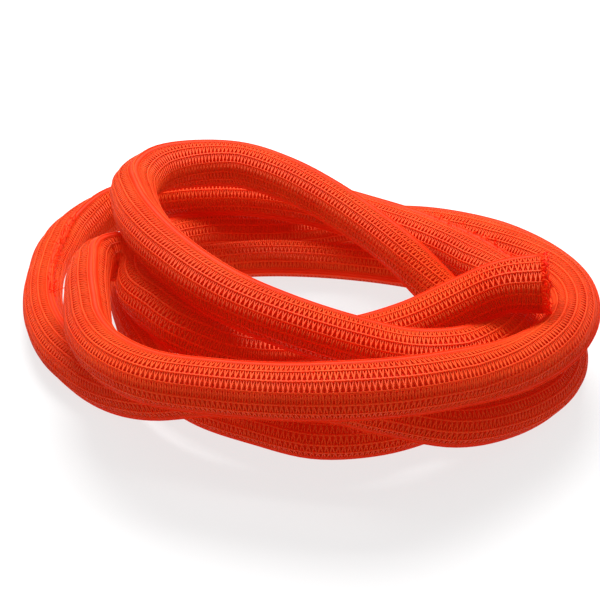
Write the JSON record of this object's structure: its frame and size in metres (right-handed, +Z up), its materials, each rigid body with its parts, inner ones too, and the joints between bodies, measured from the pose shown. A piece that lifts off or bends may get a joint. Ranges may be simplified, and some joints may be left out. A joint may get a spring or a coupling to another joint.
{
  "type": "knitted cable sleeve",
  "caption": "Length of round see-through sleeve knitted from orange plastic monofilament, lying in a loose coil, one cut end on top; a cable or hose is drawn through its bore",
  "frame": {"origin": "on the surface the coil lies on, under the middle of the coil's bounding box", "axes": "+X to the right along the coil's long side as pictured, +Y away from the viewer, +Z up"},
  "size_m": [0.2524, 0.2348, 0.0623],
  "materials": {
    "orange_monofilament": "see-through tube knitted from round orange plastic monofilament about 0.35 mm thick, slightly glossy threads"
  },
  "bodies": {
    "root": {"sleeve": "orange_monofilament"}
  },
  "joints": []
}
